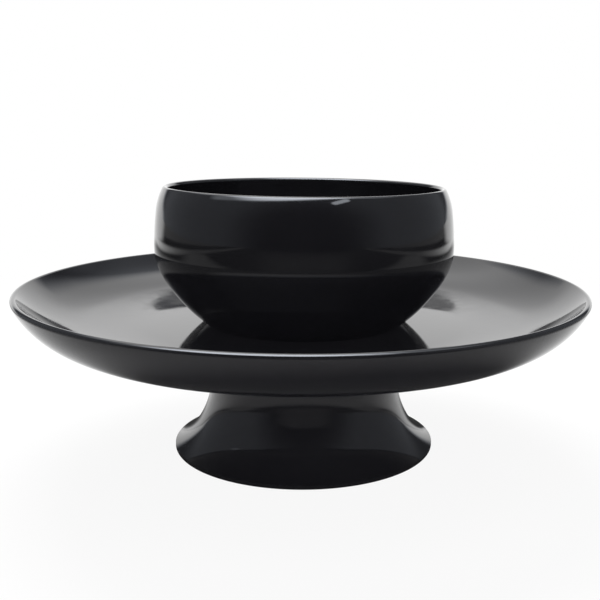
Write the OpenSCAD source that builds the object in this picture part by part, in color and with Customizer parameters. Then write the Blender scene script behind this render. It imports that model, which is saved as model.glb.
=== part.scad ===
// Tenmoku stand: a footed lacquer stand that carries a conical tea bowl by its lip.
// Three turned wooden pieces share one upright axis: the foot, the dished tray and the bellied cup.
// The stand has no bottom: one bore runs from the cup through the neck to the hollow of the foot.
// Millimetres, +Z up, origin at the centre of the standing face.

/* [Foot] */
// Outside diameter of the foot at its standing edge
foot_d = 77.8; // [68:0.2:90]
// Height from the standing face to the face that carries the tray
foot_h = 33.4; // [28:0.2:42]
// Outside diameter of the straight neck under the tray
neck_d = 55.8; // [48:0.2:62]
// Height of the straight neck above the flare
neck_h = 11.4; // [4:0.2:16]
// Share of the flare's width that the slow upper curve takes, the quick lower curve takes the rest
flare_out = 0.34; // [0.25:0.01:0.5]
// Share of the flare's height that the slow upper curve takes
flare_down = 0.68; // [0.5:0.01:0.8]
// Height of the upright land round the standing edge
edge_h = 1.3; // [0.6:0.1:2.4]
// Width of the flat ring that stands on the table
stand_w = 3.6; // [2.4:0.1:6]
// Thickness of the ledge under the socket
ledge_t = 5; // [3:0.5:8]

/* [Tray] */
// Outside diameter of the tray
tray_d = 165; // [145:1:190]
// Thickness of the tray's flat floor
tray_t = 4.6; // [2.8:0.1:6]
// Height of the rim's crest above the floor
tray_depth = 10.7; // [8:0.1:16]
// Thickness of the full round rim
rim_t = 1.8; // [1.4:0.1:3]
// Radius of the shallow dish outside the flat floor
dish_round = 118; // [60:1:160]
// Slope of the dish where the wall begins, in degrees
dish_turn = 8.4; // [3:0.1:14]
// Radius of the hollow wall from the dish up to the rim
wall_round = 28.8; // [16:0.2:34]
// Radius of the shallow curve on the underside
under_round = 61; // [40:1:100]
// Slope of the underside where the swelling curve begins, in degrees
under_turn = 8.9; // [3:0.1:14]
// Radius of the swelling curve from the underside up to the rim
swell_round = 23.9; // [18:0.1:34]

/* [Cup] */
// Height of the lip above the tray's floor
cup_h = 39.7; // [34:0.1:50]
// Outside diameter of the cup at its belly
belly_d = 87.3; // [78:0.1:98]
// Height of the belly's widest circle above the tray's floor
belly_h = 22.2; // [18:0.1:31]
// Share of the lower wall's width that the quick curve under the belly takes
belly_in = 0.13; // [0.1:0.01:0.25]
// Share of the lower wall's height that the quick curve under the belly takes
belly_down = 0.34; // [0.25:0.01:0.5]
// Radius of the barrel curve that draws the wall in above the belly
barrel_round = 82; // [50:1:140]
// Radius of the tighter curve that draws it in further under the lip
brow_round = 18; // [10:0.5:26]
// Thickness of the upper wall below that curve
wall_t = 2.5; // [2.2:0.1:3.5]
// Thickness of the full round lip
lip_t = 1.7; // [1.2:0.1:2]
// Width of the shoulder that seats on the tray round the spigot
shoulder_w = 4.5; // [2.5:0.1:8]
// Thickness of the cup's floor round the bore
base_t = 4; // [2.5:0.1:7]

/* [Joint] */
// Thickness of the neck's wall round the socket
socket_wall = 3.4; // [2:0.1:5]
// Depth of the socket in the top of the foot
socket_l = 8; // [5:0.5:12]
// Wall of the tubular spigot below the cup
spigot_wall = 3.5; // [2.5:0.1:6]
// Room for glue round the spigot
glue_gap = 0.1; // [0.05:0.05:0.3]
// Room left under the end of the spigot
end_gap = 0.4; // [0.2:0.1:1]
// Rounding of the turned edges
edge_round = 0.5; // [0.2:0.1:0.8]

/* [Hidden] */
$fn = 128;
curve_steps = 16;
edge_steps = 8;
black_lacquer = [0.035, 0.035, 0.045];

// Heights of the seats, each one standing on the last
tray_floor_z = foot_h + tray_t;
socket_floor_z = foot_h - socket_l;
spigot_end_z = socket_floor_z + end_gap;

// Radii of the joint, from the neck inwards
neck_r = neck_d / 2;
socket_r = neck_r - socket_wall;
spigot_r = socket_r - glue_gap;
bore_r = spigot_r - spigot_wall;

// Points along an arc, with both ends
function arc(centre, radius, from, to, steps = curve_steps) =
    [for (i = [0 : steps])
        let (a = from + (to - from) * i / steps)
        centre + radius * [cos(a), sin(a)]];

// Points along a quarter of an ellipse, from its side down to its bottom
function bowl_curve(centre, half_w, half_h) =
    [for (i = [0 : curve_steps])
        let (a = 90 * i / curve_steps)
        centre + [half_w * cos(a), -half_h * sin(a)]];

// Radius of the arc that starts upright and runs the given distance out and down
function upright_arc_radius(out, down) = (out * out + down * down) / (2 * out);

// Angle that such an arc turns through
function upright_arc_angle(out, down) = 2 * atan(out / down);

// Radius of the arc between two points, given the direction from the first one to its centre
function arc_radius(from, to, inward) = (to - from) * (to - from) / (2 * (to - from) * inward);

// Angle of a triangle between its first two sides
function corner_angle(a, b, opposite) = acos((a * a + b * b - opposite * opposite) / (2 * a * b));

// Direction from one point to another
function direction(a, b) = atan2(b[1] - a[1], b[0] - a[0]);

// Foot: a flared ring, hollow like a bell below, with a socket in its top
module foot() {
    foot_r = foot_d / 2;
    stand_in_r = foot_r - edge_round - stand_w;
    // Outside: a slow arc leaves the neck and a quick arc opens to the edge
    flare_top_z = foot_h - neck_h;
    slow_w = flare_out * (foot_r - neck_r);
    slow_h = flare_down * (flare_top_z - edge_h);
    slow_r = upright_arc_radius(slow_w, slow_h);
    slow_turn = upright_arc_angle(slow_w, slow_h);
    knee = [neck_r + slow_w, flare_top_z - slow_h];
    edge = [foot_r, edge_h];
    inward = [cos(slow_turn), sin(slow_turn)];
    quick_r = arc_radius(knee, edge, inward);
    quick_at = knee + quick_r * inward;
    // Underside: one arc from the ring up to the bore
    bell_h = socket_floor_z - ledge_t;
    bell_r = upright_arc_radius(stand_in_r - bore_r, bell_h);
    bell_turn = upright_arc_angle(stand_in_r - bore_r, bell_h);
    color(black_lacquer)
        rotate_extrude()
            polygon(concat(
                arc([foot_r - edge_round, edge_round], edge_round, -90, 0, edge_steps),
                arc(quick_at, quick_r, direction(quick_at, edge) + 360, 180 + slow_turn),
                arc([neck_r + slow_r, flare_top_z], slow_r, 180 + slow_turn, 180),
                [[neck_r, foot_h], [socket_r, foot_h]],
                [[socket_r, socket_floor_z], [bore_r, socket_floor_z]],
                arc([bore_r + bell_r, bell_h], bell_r, 180, 180 + bell_turn)));
}

// Tray: a dished ring with a flat floor, a hollow wall and a full round rim
module tray() {
    rim_r = rim_t / 2;
    rim_at = [tray_d / 2 - rim_r, tray_floor_z + tray_depth - rim_r];
    // Top: the wall's slope at the rim follows from the height that is left above the dish
    dish_top_z = tray_floor_z + dish_round * (1 - cos(dish_turn));
    wall_z = dish_top_z + wall_round * cos(dish_turn);
    wall_turn = acos((wall_z - rim_at[1]) / (wall_round + rim_r));
    wall_at = [rim_at[0] - (wall_round + rim_r) * sin(wall_turn), wall_z];
    dish_at = [wall_at[0] - (dish_round - wall_round) * sin(dish_turn), tray_floor_z + dish_round];
    // Underside: the same, with the rim's circle inside the swelling curve
    under_top_z = foot_h + under_round * (1 - cos(under_turn));
    swell_z = under_top_z + swell_round * cos(under_turn);
    swell_turn = acos((swell_z - rim_at[1]) / (swell_round - rim_r));
    swell_at = [rim_at[0] - (swell_round - rim_r) * sin(swell_turn), swell_z];
    under_at = [swell_at[0] - (under_round - swell_round) * sin(under_turn), foot_h + under_round];
    color(black_lacquer)
        rotate_extrude()
            polygon(concat(
                [[socket_r, foot_h]],
                arc(under_at, under_round, -90, under_turn - 90),
                arc(swell_at, swell_round, under_turn - 90, swell_turn - 90),
                arc(rim_at, rim_r, swell_turn - 90, wall_turn + 90, edge_steps),
                arc(wall_at, wall_round, wall_turn - 90, dish_turn - 90),
                arc(dish_at, dish_round, dish_turn - 90, -90),
                [[socket_r, tray_floor_z]]));
}

// Cup: a bellied ring with a full round lip, a shoulder that seats on the tray and a tubular spigot
module cup() {
    belly_r = belly_d / 2;
    belly_z = tray_floor_z + belly_h;
    // Lower wall: a quick arc turns under the belly and a slow arc runs in to the base
    base = [spigot_r + shoulder_w, tray_floor_z];
    quick_w = belly_in * (belly_r - base[0]);
    quick_h = belly_down * belly_h;
    quick_r = upright_arc_radius(quick_w, quick_h);
    quick_turn = upright_arc_angle(quick_w, quick_h);
    knee = [belly_r - quick_w, belly_z - quick_h];
    inward = [-cos(quick_turn), sin(quick_turn)];
    slow_r = arc_radius(knee, base, inward);
    slow_at = knee + slow_r * inward;
    // Upper wall: the lip's circle lies against the inside, and the brow touches it and the barrel
    lip_r = lip_t / 2;
    lip_z = tray_floor_z + cup_h - lip_r;
    inside_round = barrel_round - wall_t;
    lip_reach = inside_round + lip_r;
    lip_turn = asin((lip_z - belly_z) / lip_reach);
    barrel_at = [belly_r - barrel_round, belly_z];
    lip_at = [barrel_at[0] + lip_reach * cos(lip_turn), lip_z];
    brow_reach = barrel_round - brow_round;
    brow_turn = lip_turn - corner_angle(brow_reach, lip_reach, brow_round - lip_r);
    brow_at = barrel_at + brow_reach * [cos(brow_turn), sin(brow_turn)];
    brow_end = direction(brow_at, lip_at);
    // Inside: a round bottom with a softened edge at the bore
    bore_edge_r = bore_r + edge_round;
    base_top_z = tray_floor_z + base_t;
    color(black_lacquer)
        rotate_extrude()
            polygon(concat(
                [[bore_r, spigot_end_z], [spigot_r - edge_round, spigot_end_z]],
                [[spigot_r, spigot_end_z + edge_round], [spigot_r, tray_floor_z]],
                arc(slow_at, slow_r, direction(slow_at, base), -quick_turn),
                arc([belly_r - quick_r, belly_z], quick_r, -quick_turn, 0),
                arc(barrel_at, barrel_round, 0, brow_turn),
                arc(brow_at, brow_round, brow_turn, brow_end),
                arc(lip_at, lip_r, brow_end, lip_turn + 180, edge_steps),
                arc(barrel_at, inside_round, lip_turn, 0),
                bowl_curve([bore_edge_r, belly_z], belly_r - wall_t - bore_edge_r, belly_z - base_top_z),
                arc([bore_edge_r, base_top_z - edge_round], edge_round, 90, 180, edge_steps)));
}

foot();
tray();
cup();
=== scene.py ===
# %% [markdown]
# # A tenmoku stand in black lacquer
# A tenmoku stand carries a conical tea bowl. Three turned pieces share one upright axis: a flared foot,
# a dished tray that the hands hold, and a bellied cup that takes the bowl.
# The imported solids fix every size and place. This lesson gives each piece a smooth lacquered skin,
# and then a finish, a pale floor, soft studio light and a camera.

# %% Load the fixed frame
import math

import bmesh
import bpy
from mathutils import Matrix, Vector


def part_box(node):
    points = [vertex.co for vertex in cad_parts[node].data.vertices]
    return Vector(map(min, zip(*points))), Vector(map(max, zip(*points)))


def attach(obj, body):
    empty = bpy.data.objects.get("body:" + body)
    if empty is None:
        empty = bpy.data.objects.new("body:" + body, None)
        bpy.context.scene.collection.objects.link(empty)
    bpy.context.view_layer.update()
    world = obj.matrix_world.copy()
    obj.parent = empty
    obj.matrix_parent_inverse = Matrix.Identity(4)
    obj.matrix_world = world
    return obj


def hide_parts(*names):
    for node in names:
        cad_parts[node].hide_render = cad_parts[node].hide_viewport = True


MM = 0.001

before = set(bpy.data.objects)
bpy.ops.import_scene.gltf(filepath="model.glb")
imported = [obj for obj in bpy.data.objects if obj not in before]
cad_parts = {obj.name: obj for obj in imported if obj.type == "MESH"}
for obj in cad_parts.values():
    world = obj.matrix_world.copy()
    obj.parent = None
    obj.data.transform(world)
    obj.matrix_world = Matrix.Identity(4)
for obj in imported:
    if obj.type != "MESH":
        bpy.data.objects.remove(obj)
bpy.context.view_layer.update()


def in_mm(*lengths):
    """Lengths in millimetres, rounded for printing."""
    return [round(length / MM, 2) for length in lengths]


# %% [markdown]
# ## Read the sizes
# A turned piece is described by its outline, which is half of its section drawn beside the axis.
# All its sizes could be typed again, but then the skins could drift from the solids. So heights and
# outside radii are read from the frame. Walls and curves can't be read from a box, and each piece's
# cell notes them as a turner would.

# %% Sizes that the frame gives
_, foot_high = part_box("foot")
_, tray_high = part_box("tray")
cup_low, cup_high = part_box("cup")
foot_r = foot_high.x
foot_top = foot_high.z
tray_r = tray_high.x
rim_top = tray_high.z
belly_r = cup_high.x
cup_top = cup_high.z
spigot_end = cup_low.z
print("foot, tray and belly radii, mm:", in_mm(foot_r, tray_r, belly_r))
print("heights of neck, rim and lip, mm:", in_mm(foot_top, rim_top, cup_top))

# %% [markdown]
# ## Draw an outline with operators
# An outline could be a typed list of points, but a turner thinks in straight cuts and sweeps.
# So the outline starts as one vertex. A straight cut extrudes the last vertex along a line, and a
# sweep spins it about a centre, and both leave a row of short edges behind.

# %% A pen that draws in the XZ plane
CUT_STEP = 1.2 * MM
SWEEP_STEP = math.radians(3)
LEAST_STEPS = 6


class Outline:
    """A row of edges in the XZ plane, drawn from its last vertex."""

    def __init__(self, radius, height):
        self.bm = bmesh.new()
        self.last = self.bm.verts.new((radius, 0, height))

    def cut_to(self, radius, height):
        """Extrudes the last vertex straight to a new place, in short equal steps."""
        way = Vector((radius, 0, height)) - self.last.co
        steps = max(1, round(way.length / CUT_STEP))
        for _ in range(steps):
            made = bmesh.ops.extrude_vert_indiv(self.bm, verts=[self.last])
            bmesh.ops.translate(self.bm, verts=made["verts"], vec=way / steps)
            self.last = made["verts"][0]

    def sweep(self, centre, turn):
        """Spins the last vertex about a centre, anticlockwise for a positive turn."""
        cent = Vector((centre[0], 0, centre[1]))
        length = abs(turn) * (self.last.co - cent).length
        steps = max(LEAST_STEPS, round(max(abs(turn) / SWEEP_STEP, length / CUT_STEP)))
        made = bmesh.ops.spin(
            self.bm, geom=[self.last], cent=cent, axis=(0, -1, 0), angle=turn, steps=steps
        )
        self.last = next(v for v in made["geom_last"] if isinstance(v, bmesh.types.BMVert))


print("longest edge of an outline, mm:", in_mm(CUT_STEP))

# %% [markdown]
# ## Turn an outline into a piece
# On the lathe the work spins and the outline stands still. Here the outline spins about the Z axis
# for a full turn, with the last copy merged into the first so that no seam is left. A Screw modifier
# could do the same, but the operator leaves a plain mesh that needs no modifier.
# Spinning can leave faces inside out, so doubles are merged and the normals are recalculated after it.

# %% A lathe
TURN_STEPS = 192
MERGE_GAP = 0.002 * MM
SHARP_ANGLE = math.radians(32)


def turn_piece(name, outline, node):
    """Spins a closed outline into a smooth piece that stands for a CAD node."""
    bm = outline.bm
    bmesh.ops.remove_doubles(bm, verts=bm.verts[:], dist=MERGE_GAP)
    bmesh.ops.spin(
        bm, geom=bm.verts[:] + bm.edges[:], cent=(0, 0, 0), axis=(0, 0, 1),
        angle=2 * math.pi, steps=TURN_STEPS, use_merge=True,
    )
    bmesh.ops.remove_doubles(bm, verts=bm.verts[:], dist=MERGE_GAP)
    bmesh.ops.recalc_face_normals(bm, faces=bm.faces[:])
    mesh = bpy.data.meshes.new(name)
    bm.to_mesh(mesh)
    bm.free()
    mesh.shade_smooth()
    mesh.set_sharp_from_angle(angle=SHARP_ANGLE)
    piece = bpy.data.objects.new(name, mesh)
    bpy.context.scene.collection.objects.link(piece)
    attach(piece, "root")
    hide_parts(node)
    print(name, len(mesh.polygons), "faces")
    return piece


print("facets round the tray's rim, mm long:", in_mm(2 * math.pi * tray_r / TURN_STEPS))

# %% [markdown]
# ## Arcs that touch
# A good turned curve has no corner where one arc follows another, because a mirror shows every corner.
# Bezier curves could be bent by eye until they look smooth, but arcs can be made exact. Two arcs run on
# smoothly if both centres lie on one line through the point where they meet. So each second arc is
# worked out from that direction and from the point where it has to end.

# %% Arc helpers
QUARTER_TURN = math.pi / 2


def upright_arc(out, down):
    """Radius and turn of an arc that starts upright and runs out and down by the given sizes."""
    return (out * out + down * down) / (2 * out), 2 * math.atan(out / down)


def next_arc(start, end, inward):
    """Centre and radius of the arc between two points, from the direction of the centre at the first."""
    way = Vector(end) - Vector(start)
    radius = way.dot(way) / (2 * way.dot(inward))
    return Vector(start) + radius * Vector(inward), radius


def direction(a, b):
    """Angle of the way from one point of the outline to another."""
    return math.atan2(b[1] - a[1], b[0] - a[0])


print("an arc as wide as it is high is a quarter turn:", upright_arc(1, 1)[1] == QUARTER_TURN)

# %% [markdown]
# ## The foot
# The foot is a flared ring that the whole stand rests on. A slow arc leaves the straight neck, and a
# quick arc opens it to a thin upright land at the standing edge. Its underside is hollowed like a bell.
# Only the outside is seen, so an open shell would do for a picture. The hollow and the hidden socket
# are drawn too, so that the skin is a closed, honest solid.

# %% Foot flare
neck_r = 27.9 * MM
neck_h = 11.4 * MM
flare_out, flare_down = 0.34, 0.68
edge_h = 1.3 * MM

flare_top = foot_top - neck_h
slow_w = flare_out * (foot_r - neck_r)
slow_h = flare_down * (flare_top - edge_h)
slow_r, slow_turn = upright_arc(slow_w, slow_h)
knee = (neck_r + slow_w, flare_top - slow_h)
inward = (math.cos(slow_turn), math.sin(slow_turn))
quick_at, quick_r = next_arc(knee, (foot_r, edge_h), inward)
quick_turn = direction(quick_at, (foot_r, edge_h)) + math.pi - slow_turn
print("flare radii, mm:", in_mm(slow_r, quick_r))

# %% Foot hollow
edge_round = 0.5 * MM
stand_w = 3.6 * MM
socket_r = 24.5 * MM
socket_l = 8.0 * MM
ledge_t = 5.0 * MM
bore_r = 20.9 * MM

socket_floor = foot_top - socket_l
bell_h = socket_floor - ledge_t
stand_in_r = foot_r - edge_round - stand_w
bell_r, bell_turn = upright_arc(stand_in_r - bore_r, bell_h)
print("height and radius of the bell, mm:", in_mm(bell_h, bell_r))

# %% Foot
outline = Outline(stand_in_r, 0)
outline.cut_to(foot_r - edge_round, 0)
outline.sweep((foot_r - edge_round, edge_round), QUARTER_TURN)
outline.cut_to(foot_r, edge_h)
outline.sweep(quick_at, -quick_turn)
outline.sweep((neck_r + slow_r, flare_top), -slow_turn)
outline.cut_to(neck_r, foot_top)
outline.cut_to(socket_r, foot_top)
outline.cut_to(socket_r, socket_floor)
outline.cut_to(bore_r, socket_floor)
outline.cut_to(bore_r, bell_h)
outline.sweep((bore_r + bell_r, bell_h), bell_turn)
foot_skin = turn_piece("foot_skin", outline, "foot")

# %% [markdown]
# ## The tray
# The tray is the wide dish that the hands hold. Its flat floor runs out into a very shallow dish, and a
# tighter hollow carries that up to a full round rim. Below, a shallow curve and a swelling one do the same.
# A dish could be inset and extruded from a disc, but the rise would be faceted. Arcs that touch let the
# light run over the whole dish unbroken.

# %% Tray arcs
tray_t = 4.6 * MM
rim_r = 0.9 * MM
dish_r, dish_turn = 118 * MM, math.radians(8.4)
wall_r = 28.8 * MM
under_r, under_turn = 61 * MM, math.radians(8.9)
swell_r = 23.9 * MM
tray_floor = foot_top + tray_t
rim_at = (tray_r - rim_r, rim_top - rim_r)


def rise_to_rim(level, first_r, first_turn, last_r, rim_gap):
    """Centres of a shallow and a tight arc from a flat level to the rim, and the tight arc's slope there."""
    last_z = level + first_r * (1 - math.cos(first_turn)) + last_r * math.cos(first_turn)
    last_turn = math.acos((last_z - rim_at[1]) / (last_r + rim_gap))
    last_x = rim_at[0] - (last_r + rim_gap) * math.sin(last_turn)
    first_x = last_x - (first_r - last_r) * math.sin(first_turn)
    return (first_x, level + first_r), (last_x, last_z), last_turn


dish_at, wall_at, wall_turn = rise_to_rim(tray_floor, dish_r, dish_turn, wall_r, rim_r)
under_at, swell_at, swell_turn = rise_to_rim(foot_top, under_r, under_turn, swell_r, -rim_r)
print("flat floor and flat underside end at radii, mm:", in_mm(dish_at[0], under_at[0]))

# %% Tray
outline = Outline(socket_r, foot_top)
outline.cut_to(under_at[0], foot_top)
outline.sweep(under_at, under_turn)
outline.sweep(swell_at, swell_turn - under_turn)
outline.sweep(rim_at, wall_turn - swell_turn + math.pi)
outline.sweep(wall_at, dish_turn - wall_turn)
outline.sweep(dish_at, -dish_turn)
outline.cut_to(socket_r, tray_floor)
outline.cut_to(socket_r, foot_top)
tray_skin = turn_piece("tray_skin", outline, "tray")

# %% [markdown]
# ## The cup
# The cup holds the tea bowl by its lip, so its wall swells to a belly and draws in again above.
# From the base a slow arc runs out and a quick one turns it upright at the belly. A long barrel curve
# follows, and a tighter brow draws the wall in to the thin round lip. Inside, a round bottom leads to the
# open bore, and the spigot below carries the joint. A sphere could be cut open and squeezed into such a
# cup, but only an outline keeps the wall's thickness and the lip in hand.

# %% Cup lower wall
belly_h = 22.2 * MM
belly_in, belly_down = 0.13, 0.34
spigot_r = 24.4 * MM
shoulder_w = 4.5 * MM

belly_z = tray_floor + belly_h
base = (spigot_r + shoulder_w, tray_floor)
turn_w = belly_in * (belly_r - base[0])
turn_h = belly_down * (belly_z - tray_floor)
turn_r, turn_angle = upright_arc(turn_w, turn_h)
knee = (belly_r - turn_w, belly_z - turn_h)
inward = (-math.cos(turn_angle), math.sin(turn_angle))
side_at, side_r = next_arc(knee, base, inward)
print("lower wall radii, mm:", in_mm(turn_r, side_r))

# %% Cup brow and lip
barrel_r = 82 * MM
brow_r = 18 * MM
wall_t = 2.5 * MM
lip_r = 0.85 * MM

barrel_at = (belly_r - barrel_r, belly_z)
lip_reach = barrel_r - wall_t + lip_r
lip_turn = math.asin((cup_top - lip_r - belly_z) / lip_reach)
lip_at = (barrel_at[0] + lip_reach * math.cos(lip_turn), cup_top - lip_r)
brow_reach = barrel_r - brow_r
squares = brow_reach ** 2 + lip_reach ** 2 - (brow_r - lip_r) ** 2
brow_turn = lip_turn - math.acos(squares / (2 * brow_reach * lip_reach))
brow_at = (barrel_at[0] + brow_reach * math.cos(brow_turn), belly_z + brow_reach * math.sin(brow_turn))
brow_end = direction(brow_at, lip_at)
print("slope of the wall at the lip, degrees:", round(math.degrees(brow_end), 1))

# %% Cup outside
outline = Outline(bore_r, spigot_end)
outline.cut_to(spigot_r - edge_round, spigot_end)
outline.cut_to(spigot_r, spigot_end + edge_round)
outline.cut_to(spigot_r, tray_floor)
outline.cut_to(*base)
outline.sweep(side_at, -turn_angle - direction(side_at, base))
outline.sweep((belly_r - turn_r, belly_z), turn_angle)
outline.sweep(barrel_at, brow_turn)
outline.sweep(brow_at, brow_end - brow_turn)
outline.sweep(lip_at, lip_turn + math.pi - brow_end)
print("points on the outside:", len(outline.bm.verts))

# %% Cup inside
base_t = 4.0 * MM

base_top = tray_floor + base_t
bowl_w = belly_r - wall_t - bore_r - edge_round
bowl_h = belly_z - base_top
outline.sweep(barrel_at, -lip_turn)
above_bowl = set(outline.bm.verts)
outline.sweep((belly_r - wall_t - bowl_h, belly_z), -QUARTER_TURN)
bmesh.ops.scale(
    outline.bm, verts=[v for v in outline.bm.verts if v not in above_bowl], vec=(bowl_w / bowl_h, 1, 1),
    space=Matrix.Translation((wall_t - belly_r, 0, 0)),
)
outline.sweep((bore_r + edge_round, base_top - edge_round), QUARTER_TURN)
outline.cut_to(bore_r, spigot_end)
cup_skin = turn_piece("cup_skin", outline, "cup")

# %% [markdown]
# ## Black lacquer
# The finish is many thin coats of black lacquer, polished until it mirrors the room. Nearly all of its
# light is reflection, so the base colour is almost black and the gloss is high. A plain glossy black
# could do, but it looks like plastic. So three slow patterns vary it: the tone drifts between two
# near blacks, the polish is uneven, and a slight ripple is left from the brush.
# All of them read Object coordinates, so they stay on the piece from every side.

# %% Lacquer coat
LACQUER_IOR = 1.52


def add_node(tree, kind, inputs=(), **settings):
    """Adds a shader node, sets its properties and then its sockets by name or number."""
    node = tree.nodes.new(kind)
    for key, value in settings.items():
        setattr(node, key, value)
    for key, value in dict(inputs).items():
        node.inputs[key].default_value = value
    return node


def empty_material(name):
    """A new material, its empty node tree and its output node."""
    material = bpy.data.materials.new(name)
    material.use_nodes = True
    tree = material.node_tree
    tree.nodes.clear()
    return material, tree, add_node(tree, "ShaderNodeOutputMaterial")


lacquer_material, tree, out = empty_material("black_lacquer")
lacquer = add_node(tree, "ShaderNodeBsdfPrincipled", {"IOR": LACQUER_IOR})
tree.links.new(lacquer.outputs["BSDF"], out.inputs["Surface"])
mirror_share = ((LACQUER_IOR - 1) / (LACQUER_IOR + 1)) ** 2
print("light mirrored straight on, percent:", round(100 * mirror_share, 1))

# %% Lacquer tone
TONE_SCALE, TONE_DETAIL = 70.0, 3.0
TONE_DEEP, TONE_PALE = (0.0085, 0.0085, 0.0105, 1), (0.0125, 0.0122, 0.0142, 1)


def clouds(tree, place, scale, detail):
    """Soft noise on a piece, with clouds about one over the scale in metres wide."""
    noise = add_node(tree, "ShaderNodeTexNoise", {"Scale": scale, "Detail": detail})
    tree.links.new(place, noise.inputs["Vector"])
    return noise.outputs["Fac"]


place = add_node(tree, "ShaderNodeTexCoord").outputs["Object"]
tone = add_node(tree, "ShaderNodeValToRGB")
tone.color_ramp.elements[0].color = TONE_DEEP
tone.color_ramp.elements[1].color = TONE_PALE
tree.links.new(clouds(tree, place, TONE_SCALE, TONE_DETAIL), tone.inputs["Fac"])
tree.links.new(tone.outputs["Color"], lacquer.inputs["Base Color"])
print("width of the clouds of tone, mm:", in_mm(1 / TONE_SCALE))

# %% Lacquer polish
POLISH_SCALE, POLISH_DETAIL = 240.0, 4.0
POLISH_ROUGH = (0.3, 0.7, 0.03, 0.07)


def ramp_between(tree, value, start, end, low=0.0, high=1.0):
    """A smooth step of a value from low at start to high at end."""
    step = add_node(
        tree, "ShaderNodeMapRange", {"From Min": start, "From Max": end, "To Min": low, "To Max": high},
        interpolation_type="SMOOTHSTEP",
    )
    tree.links.new(value, step.inputs["Value"])
    return step.outputs["Result"]


polish = ramp_between(tree, clouds(tree, place, POLISH_SCALE, POLISH_DETAIL), *POLISH_ROUGH)
tree.links.new(polish, lacquer.inputs["Roughness"])
print("roughness from and to:", POLISH_ROUGH[2:])

# %% Lacquer ripple
RIPPLE_SCALE, RIPPLE_DETAIL = 90.0, 2.0
RIPPLE_H = 0.005 * MM

ripple = add_node(tree, "ShaderNodeBump", {"Strength": 1.0, "Distance": RIPPLE_H})
tree.links.new(clouds(tree, place, RIPPLE_SCALE, RIPPLE_DETAIL), ripple.inputs["Height"])
tree.links.new(ripple.outputs["Normal"], lacquer.inputs["Normal"])
for piece in (foot_skin, tray_skin, cup_skin):
    piece.data.materials.append(lacquer_material)
    print(piece.name, "is finished in", lacquer_material.name)

# %% [markdown]
# ## Floor
# The stand is on a sheet of pale paper that lies on a dark table, with a white backdrop behind. For the
# camera a white plane would be enough, but a black mirror shows all that lies round it. Paper, table and
# backdrop could be sheets of their own, each with its lamp. One plane is simpler: its material works out
# from the place of each point how bright that point is in the mirror, with soft steps and no hard edges.

# %% Where a point of the floor lies
def without_sign(tree, value):
    """The size of a value, whether it lies to the left or to the right of zero."""
    node = add_node(tree, "ShaderNodeMath", operation="ABSOLUTE")
    tree.links.new(value, node.inputs[0])
    return node.outputs["Value"]


def split_axes(tree, vector):
    """The X, Y and Z of a vector."""
    axes = add_node(tree, "ShaderNodeSeparateXYZ")
    tree.links.new(vector, axes.inputs["Vector"])
    return axes.outputs["X"], axes.outputs["Y"], axes.outputs["Z"]


paper_material, tree, out = empty_material("pale_paper")
place = add_node(tree, "ShaderNodeTexCoord").outputs["Object"]
x, deep, _ = split_axes(tree, place)
side = without_sign(tree, x)
print("nodes that tell where a point lies:", len(tree.nodes) - 1)

# %% [markdown]
# ## Paper in the mirror
# The paper's light is painted into the floor's glow: brightest behind the stand, it dims to the front and to
# both sides, ends a little way in front of the stand, and has a grey sheet at each side. A real sheet under
# real lamps would give this by itself, but every small change would move all of it at once, so each edge is
# a step of its own. A glow takes no shadow, so a soft round patch of painted shade stands for the shade
# under the tray.

# %% Shade under the tray
SHADE_AT, SHADE_REACH = (0.008, -0.014, 0), (0.058, 0.10)


def reach_from_axis(tree, place):
    """Distance of a place from the upright axis."""
    flat = add_node(tree, "ShaderNodeVectorMath", {1: (1, 1, 0)}, operation="MULTIPLY")
    reach = add_node(tree, "ShaderNodeVectorMath", operation="LENGTH")
    tree.links.new(place, flat.inputs[0])
    tree.links.new(flat.outputs["Vector"], reach.inputs[0])
    return reach.outputs["Value"]


from_shade = add_node(tree, "ShaderNodeVectorMath", {1: SHADE_AT}, operation="SUBTRACT")
tree.links.new(place, from_shade.inputs[0])
shade_reach = reach_from_axis(tree, from_shade.outputs["Vector"])
print("radii of the shade under the tray, mm:", in_mm(*SHADE_REACH))

# %% Paper and grey sheets
PAPER_SIDE, PAPER_EDGE = (0.12, 0.40, 1.0, 0.0), (-0.16, -0.11)
PAPER_FRONT = (-0.08, 0.09, 0.40, 1.0)
GREY_BACK, GREY_FRONT = (-0.02, 0.10, 0.27, 0.0), (-0.22, -0.12)
GREY_NEAR, GREY_FAR = (0.17, 0.27), (0.55, 0.70, 1.0, 0.0)


def combine(tree, operation, first, second):
    """A Math node on two sockets, or on a socket and a number."""
    node = add_node(tree, "ShaderNodeMath", operation=operation)
    tree.links.new(first, node.inputs[0])
    if isinstance(second, float):
        node.inputs[1].default_value = second
    else:
        tree.links.new(second, node.inputs[1])
    return node.outputs["Value"]


def steps_product(tree, *steps):
    """The product of smooth steps, each given as a value and the step's ends."""
    first, *others = [ramp_between(tree, value, *ends) for value, ends in steps]
    for other in others:
        first = combine(tree, "MULTIPLY", first, other)
    return first


# Painted light: the paper's glow in the mirror falls off to the sides and the front, times the painted shade
# under the tray.
painted_paper_light = steps_product(
    tree, (side, PAPER_SIDE), (deep, PAPER_FRONT), (deep, PAPER_EDGE), (shade_reach, SHADE_REACH)
)
on_grey = steps_product(
    tree, (deep, GREY_BACK), (deep, GREY_FRONT), (side, GREY_NEAR), (side, GREY_FAR)
)
print("half width of the brightest paper, mm:", in_mm(PAPER_SIDE[0]))

# %% [markdown]
# ## Table and backdrop in the mirror
# Beyond the paper lies a dark table. A paler border runs slantwise along each of its sides, and past it
# the room is dim. Behind it all is the foot of the backdrop, which shows as a bright wedge that widens
# to the back. The neck and the tray's underside mirror all of these as soft bands. A picture of a studio
# could be laid on the floor instead, but a few steps are easier to move until the bands fall right.

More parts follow.
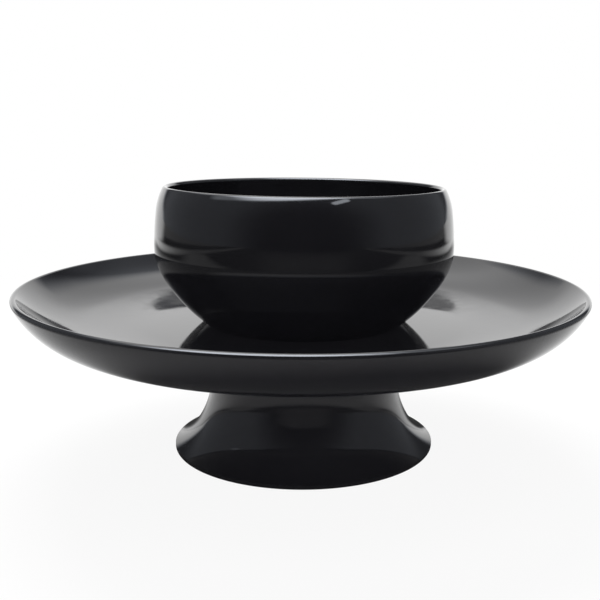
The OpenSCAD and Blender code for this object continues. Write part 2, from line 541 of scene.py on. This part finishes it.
# %% Table, border and backdrop
BORDER_SLANT = 0.58
BORDER_IN, BORDER_OUT = (0.50, 0.60), (0.65, 0.76)
BORDER_GLOW = (-0.05, 0.45, 0.26, 1.2)
PAST_BORDER = (0.90, 1.10, 0.0, 0.18)
DROP_START, DROP_SPREAD = (0.32, 0.52, 0.0, 1.2), (1.00, 1.50, 1.0, 0.0)
LEAST_DEEP = 0.1
TABLE_DARK = 0.05

slant = combine(tree, "ADD", side, combine(tree, "MULTIPLY", deep, BORDER_SLANT))
border = combine(
    tree, "SUBTRACT", ramp_between(tree, slant, *BORDER_IN), ramp_between(tree, slant, *BORDER_OUT)
)
border = combine(tree, "MULTIPLY", border, ramp_between(tree, deep, *BORDER_GLOW))
spread = combine(tree, "DIVIDE", side, combine(tree, "MAXIMUM", deep, LEAST_DEEP))
drop = steps_product(tree, (deep, DROP_START), (spread, DROP_SPREAD))

brightest = painted_paper_light
for level in (on_grey, border, ramp_between(tree, slant, *PAST_BORDER), drop):
    brightest = combine(tree, "MAXIMUM", brightest, level)
floor_glow = combine(tree, "ADD", brightest, TABLE_DARK)
print("slant of the border, degrees:", round(math.degrees(math.atan(BORDER_SLANT)), 1))

# %% [markdown]
# ## What each ray sees
# Light Path tells a ray from the camera from a ray that the lacquer has mirrored. The camera sees white at
# a strength of 1, with a faint shadow near the stand; inside the foot the white is dimmed to a painted deep
# shade. The mirror sees the levels worked out above. All other light falls on a plain diffuse paper and
# bounces up from it.
# Brighter lamps could whiten the floor too, but they would also light up the black of the stand.

# %% White floor for the camera
WHITE = (1, 1, 1, 1)
PAPER_COLOUR = (0.9, 0.9, 0.9, 1)
PAINTED_SHADE_UNDER_FOOT = (0.035, 0.038, 0.12, 1.0)
SHADOW = (0.16, 0.34, 0.12, 0.0)


def mix_shaders(tree, share, first, second):
    """A Mix Shader that goes from the first shader to the second as the share grows."""
    mix = add_node(tree, "ShaderNodeMixShader")
    for number, socket in enumerate((share, first, second)):
        tree.links.new(socket, mix.inputs[number])
    return mix.outputs["Shader"]


reach = reach_from_axis(tree, place)
paper = add_node(tree, "ShaderNodeBsdfDiffuse", {"Color": PAPER_COLOUR})
white = add_node(tree, "ShaderNodeEmission", {"Color": WHITE})
# Painted shade: the white is dimmed to 0.12 inside the foot's standing ring.
tree.links.new(ramp_between(tree, reach, *PAINTED_SHADE_UNDER_FOOT), white.inputs["Strength"])
shadow = ramp_between(tree, reach, *SHADOW)
to_camera = mix_shaders(tree, shadow, white.outputs["Emission"], paper.outputs["BSDF"])
print("faint shadow ends at radius, mm:", in_mm(SHADOW[1]))

# %% Floor shader for each ray
def pick_by_ray(tree, to_camera, to_mirror, to_others):
    """One shader for the camera's rays, one for rays from mirrors and glass, and one for the rest."""
    seen = add_node(tree, "ShaderNodeLightPath")
    mirrored = combine(tree, "MAXIMUM", seen.outputs["Is Glossy Ray"], seen.outputs["Is Transmission Ray"])
    unseen = mix_shaders(tree, mirrored, to_others, to_mirror)
    return mix_shaders(tree, seen.outputs["Is Camera Ray"], unseen, to_camera)


mirror = add_node(tree, "ShaderNodeEmission", {"Color": WHITE})
tree.links.new(floor_glow, mirror.inputs["Strength"])
floor_shader = pick_by_ray(tree, to_camera, mirror.outputs["Emission"], paper.outputs["BSDF"])
tree.links.new(floor_shader, out.inputs["Surface"])
print("nodes of the floor:", len(tree.nodes))

# %% Floor
FLOOR_HALF = 1.6


def flat_sheet(name, material, size, matrix=Matrix.Identity(4)):
    """A square sheet of the set, with its place in its mesh."""
    bm = bmesh.new()
    bmesh.ops.create_grid(bm, x_segments=1, y_segments=1, size=size, matrix=matrix)
    mesh = bpy.data.meshes.new(name)
    bm.to_mesh(mesh)
    bm.free()
    mesh.materials.append(material)
    sheet = bpy.data.objects.new(name, mesh)
    bpy.context.scene.collection.objects.link(sheet)
    return sheet


floor = flat_sheet("floor", paper_material, FLOOR_HALF)
print("floor size, m:", [round(length, 2) for length in floor.dimensions])

# %% [markdown]
# ## Front card
# A low grey card in front of the stand, below the picture, opens up the black of the foot and of the belly.
# In a studio it is a strip of grey board. A lamp would do the same but show as a hard bright bar, so the
# card glows dimly and fades out towards its upper edge and its ends.
# It is only there for the mirror: the camera, the lamps and the paper don't see it.

# %% Front card finish
CARD_LEVEL = 0.13
CARD_TOP, CARD_ENDS = (0.045, 0.060, 1.0, 0.0), (0.05, 0.14, 1.0, 0.0)

card_material, tree, out = empty_material("grey_card")
place = add_node(tree, "ShaderNodeTexCoord").outputs["Object"]
x, _, height = split_axes(tree, place)
clear = add_node(tree, "ShaderNodeBsdfTransparent")
grey = add_node(tree, "ShaderNodeEmission", {"Color": WHITE, "Strength": CARD_LEVEL})
fade = steps_product(tree, (height, CARD_TOP), (without_sign(tree, x), CARD_ENDS))
card_shader = mix_shaders(tree, fade, clear.outputs["BSDF"], grey.outputs["Emission"])
tree.links.new(card_shader, out.inputs["Surface"])
print("card fades out over, mm:", in_mm(CARD_TOP[1] - CARD_TOP[0], CARD_ENDS[1] - CARD_ENDS[0]))

# %% Front card
CARD_AT, CARD_HIGH, CARD_HALF = -0.19, 0.06, 0.14

upright = Matrix.Translation((0, CARD_AT, CARD_HIGH / 2)) @ Matrix.Rotation(QUARTER_TURN, 4, "X")
card_size = Matrix.Diagonal((CARD_HALF, CARD_HIGH / 2, 1, 1))
card = flat_sheet("front_card", card_material, 1.0, upright @ card_size)
card.visible_camera = False
card.visible_diffuse = False
card.visible_shadow = False
print("card width, thickness and height, mm:", in_mm(*card.dimensions))

# %% [markdown]
# ## Studio
# A white backdrop stands behind the stand and a soft light hangs over it, so the bright part of the room
# is wide below, narrow in the middle and wide again above. It could be built from lamps and boards, and
# then every edge of them would be mirrored. Here the world shows the room to the lacquer as smooth
# steps by direction.
#
# Directions are read on an upright plane one metre behind the stand: how far across and how far up
# they cross it.

# %% World directions
LEAST_DEPTH = 0.05
BEHIND = (0.0, 0.25)

world = bpy.data.worlds.new("studio")
bpy.context.scene.world = world
world.use_nodes = True
tree = world.node_tree
tree.nodes.clear()
out = add_node(tree, "ShaderNodeOutputWorld")
way = add_node(tree, "ShaderNodeTexCoord").outputs["Generated"]
to_right, to_back, to_top = split_axes(tree, way)
depth = combine(tree, "MAXIMUM", to_back, LEAST_DEPTH)
across = combine(tree, "DIVIDE", to_right, depth)
up = combine(tree, "DIVIDE", to_top, depth)
behind = ramp_between(tree, to_back, *BEHIND)
print("world:", world.name)

# %% Backdrop and the light over it
DROP_HALF, DROP_TAPER = 0.95, -1.50
LIGHT_HALF, LIGHT_TAPER = 0.08, 0.48
LEAN_START, LEAN, LEAN_LEAST = -0.16, 0.33, 0.06
SOFT_EDGE = (-0.18, 0.16)


def on_line(tree, value, slope, start):
    """A value that grows along a straight line."""
    return combine(tree, "ADD", combine(tree, "MULTIPLY", value, slope), start)


drop_half = on_line(tree, up, DROP_TAPER, DROP_HALF)
light_half = on_line(tree, up, LIGHT_TAPER, LIGHT_HALF)
half = combine(tree, "MAXIMUM", drop_half, light_half)
lean = combine(tree, "MAXIMUM", on_line(tree, up, LEAN, LEAN_START), LEAN_LEAST)
off = without_sign(tree, combine(tree, "ADD", across, lean))
inside = ramp_between(tree, combine(tree, "SUBTRACT", half, off), *SOFT_EDGE)
inside = combine(tree, "MULTIPLY", inside, behind)
narrowest = (DROP_HALF - LIGHT_HALF) / (LIGHT_TAPER - DROP_TAPER)
print("the bright part is narrowest at a height of, degrees:", round(math.degrees(math.atan(narrowest)), 1))

# %% [markdown]
# ## Levels of the room
# Inside the bright part the backdrop darkens a little upwards, and the light above it takes over.
# Outside it the sides of the room are dim, and the side behind the camera is dark. A single grey would be
# simpler, but the round wall of the cup mirrors the whole room from side to side and would look flat.

# %% Levels by direction
DROP_LEVEL = (0.28, 0.42, 1.30, 1.05)
LIGHT_LEVEL = (0.50, 1.40, 0.0, 1.3)
ROOM_GLOW, ROOM_DIM = (-0.95, -0.40, 0.0, 0.29), (0.60, 0.80, 0.0, 0.21)

bright = combine(tree, "ADD", ramp_between(tree, up, *DROP_LEVEL), ramp_between(tree, up, *LIGHT_LEVEL))
sides = combine(
    tree, "SUBTRACT", ramp_between(tree, to_back, *ROOM_GLOW), ramp_between(tree, to_back, *ROOM_DIM)
)
extra = combine(tree, "MULTIPLY", inside, combine(tree, "SUBTRACT", bright, sides))
room_level = combine(tree, "ADD", sides, extra)
print("levels of backdrop, light and sides:", DROP_LEVEL[2], LIGHT_LEVEL[3], ROOM_GLOW[3])

# %% [markdown]
# ## High lights
# A soft light high up behind the stand falls off to the right and brightens the tray's floor. Overhead a
# pale ceiling glows, with a lamp in it that draws the bright line along the lip. A small slanted streak
# is the mirror image of a second lamp on the cup's brow. Area lamps could be mirrored instead, but they
# have hard edges, while a glow about a direction fades as softly as a diffuser.

# %% High light behind
HIGH_START, HIGH_SIDE = (0.50, 0.80), (-0.10, 0.45, 1.8, 0.5)

high = steps_product(tree, (to_top, HIGH_START), (to_right, HIGH_SIDE))
high = combine(tree, "MULTIPLY", high, behind)
print("levels of the high light at left and right:", HIGH_SIDE[2:])

# %% Ceiling and its lamp
CEILING_AT, CEILING = (-0.09, 0.26, 0.95), (0.52, 0.58)
CEILING_BACK, CEILING_BEND = (0.20, 0.45, 1.0, 0.0), 0.55
LAMP_AT, LAMP = (-0.17, -0.27, 0.945), (0.78, 0.97, 1.7, 13.0)


def glow_round(tree, way, centre, steps):
    """A round glow in the world about a direction, with steps in the cosine of the angle from it."""
    near = add_node(tree, "ShaderNodeVectorMath", {1: Vector(centre).normalized()}, operation="DOT_PRODUCT")
    tree.links.new(way, near.inputs[0])
    return ramp_between(tree, near.outputs["Value"], *steps)


aside = combine(tree, "MULTIPLY", to_right, to_right)
ceiling_depth = combine(tree, "ADD", to_back, combine(tree, "MULTIPLY", aside, CEILING_BEND))
ceiling_end = ramp_between(tree, ceiling_depth, *CEILING_BACK)
ceiling = combine(tree, "MULTIPLY", glow_round(tree, way, CEILING_AT, CEILING), ceiling_end)
lamps = combine(tree, "MULTIPLY", ceiling, glow_round(tree, way, LAMP_AT, LAMP))
print("the ceiling reaches from its middle, degrees:", round(math.degrees(math.acos(CEILING[0])), 1))

# %% Streak on the brow
STREAK_FROM, STREAK_TO = Vector((0.335, -0.663, 0.670)), Vector((0.435, -0.556, 0.708))
STREAK, STREAK_STEPS = (0.9981, 0.9999, 0.0, 5.0), 6

for step in range(STREAK_STEPS + 1):
    spot = STREAK_FROM.lerp(STREAK_TO, step / STREAK_STEPS).normalized()
    lamps = combine(tree, "MAXIMUM", lamps, glow_round(tree, way, spot, STREAK))
glow = combine(tree, "MAXIMUM", room_level, combine(tree, "MAXIMUM", high, lamps))
print("length of the streak, degrees:", round(math.degrees(STREAK_FROM.angle(STREAK_TO)), 1))

# %% [markdown]
# ## Second images
# The tray mirrors the cup, and the cup mirrors the tray, so a perfect mirror shows each lamp a second time.
# The photograph shows no such images of the lamps overhead. A rougher lacquer would hide them, but the
# first images would blur too. So the high part of the room is dimmed for rays that the lacquer has
# mirrored twice, except near the high light behind, which does show twice. This is a liberty in the
# light, and the lacquer itself is left alone.

# %% Dim the second images
SECOND_BOUNCE, SECOND_LOSS = (1.2, 1.8), 0.95
SECOND_FROM = (0.38, 0.55)
SECOND_AT, SECOND = (0.0, 0.51, 0.86), (0.82, 0.94, 1.0, 0.0)

bounces = add_node(tree, "ShaderNodeLightPath").outputs["Glossy Depth"]
lost = steps_product(tree, (bounces, (*SECOND_BOUNCE, 0.0, SECOND_LOSS)), (to_top, SECOND_FROM))
lost = combine(tree, "MULTIPLY", lost, glow_round(tree, way, SECOND_AT, SECOND))
glow = combine(tree, "SUBTRACT", glow, combine(tree, "MULTIPLY", glow, lost))
print("share left of a second image:", round(1 - SECOND_LOSS, 2))

# %% [markdown]
# ## What each ray sees of the room
# The mirror sees the room. Outside the bright backdrop it has a slightly cool tint, because the dark
# reflections on the stand are a little blue. A bluer lacquer could give that too, but it would also tint
# the bright ones. The camera sees plain white at a strength of 1. All other light is an even, weak
# ambient, so that paper and stand are lit plainly whatever the mirror shows.

# %% World shaders
ROOM_TINT = (0.87, 0.92, 1.0, 1)
AMBIENT = 0.2

room = add_node(tree, "ShaderNodeBackground")
ambient = add_node(tree, "ShaderNodeBackground", {"Color": WHITE, "Strength": AMBIENT})
white = add_node(tree, "ShaderNodeBackground", {"Color": WHITE, "Strength": 1.0})
tint = add_node(tree, "ShaderNodeValToRGB")
tint.color_ramp.elements[0].color = ROOM_TINT
tree.links.new(inside, tint.inputs["Fac"])
tree.links.new(tint.outputs["Color"], room.inputs["Color"])
tree.links.new(glow, room.inputs["Strength"])
backgrounds = [node.outputs["Background"] for node in (white, room, ambient)]
tree.links.new(pick_by_ray(tree, *backgrounds), out.inputs["Surface"])
print("nodes of the world:", len(tree.nodes))

# %% [markdown]
# ## Lamps
# The world gives the lacquer its mirror images, and lamps give the little light that the black itself
# returns. A soft light from behind casts the faint shadow on the paper. Three fills lift the blacks from
# the front, from above and from below, where the fill stands for light that the paper sends up again.
# A stronger ambient could lift them, but it is blocked under the tray and inside the cup, so the fills
# cast no shadows instead. No lamp shows to the camera or in the lacquer.

# %% Lamps
def soft_box(name, at, aim, size, energy, shadow=True):
    """A rectangular lamp that shows neither to the camera nor in the lacquer."""
    lamp = bpy.data.lights.new(name, "AREA")
    lamp.shape = "RECTANGLE"
    lamp.size, lamp.size_y = size
    lamp.energy = energy
    lamp.use_shadow = shadow
    box = bpy.data.objects.new(name, lamp)
    beam = Vector(aim) - Vector(at)
    box.matrix_world = Matrix.Translation(at) @ beam.to_track_quat("-Z", "Y").to_matrix().to_4x4()
    box.visible_camera = False
    box.visible_glossy = False
    bpy.context.scene.collection.objects.link(box)
    print(name, "at", round(beam.length, 2), "m,", energy, "W")


FOOT_AT, NECK_AT = (0, 0, 0), (0, 0, 0.03)
BACK_SIZE, FILL_SIZE = (0.6, 0.5), (0.8, 0.5)

soft_box("back_light", (-0.12, 0.50, 0.75), FOOT_AT, BACK_SIZE, energy=8.0)
soft_box("front_fill", (0.12, -0.90, 0.60), NECK_AT, FILL_SIZE, energy=0.4, shadow=False)
soft_box("top_fill", (0.05, -0.30, 1.10), NECK_AT, FILL_SIZE, energy=7.0, shadow=False)
soft_box("low_fill", (-0.10, -0.80, -0.45), NECK_AT, FILL_SIZE, energy=2.1, shadow=False)

# %% [markdown]
# ## Camera
# The camera stands a little above the rim of the tray and quite close, so the front of the rim sweeps low
# and the tray's floor is seen at a slant. A longer lens from further off could frame the stand as well,
# but then the near and the far side of the rim would come out at nearly one scale. The camera is turned
# and rolled very slightly and its frame is shifted, because the outlines of lip, rim and foot fit best so.

# %% Camera
SENSOR_W, LENS = 36.0, 52.9
SHIFT_X = -0.075
CAMERA_AT = (0, -0.2587, 0.0953)
TURN, LOOK_DOWN, ROLL = math.radians(-2.65), math.radians(11.24), math.radians(0.79)

camera_data = bpy.data.cameras.new("camera")
camera_data.sensor_width = SENSOR_W
camera_data.lens = LENS
camera_data.shift_x = SHIFT_X
camera = bpy.data.objects.new("camera", camera_data)
look = Matrix.Rotation(TURN, 4, "Z") @ Matrix.Rotation(QUARTER_TURN - LOOK_DOWN, 4, "X")
camera.matrix_world = Matrix.Translation(CAMERA_AT) @ look @ Matrix.Rotation(ROLL, 4, "Z")
bpy.context.scene.collection.objects.link(camera)
bpy.context.scene.camera = camera
bpy.context.scene.view_settings.view_transform = "Standard"
print("angle of view, degrees:", round(math.degrees(camera_data.angle), 1))
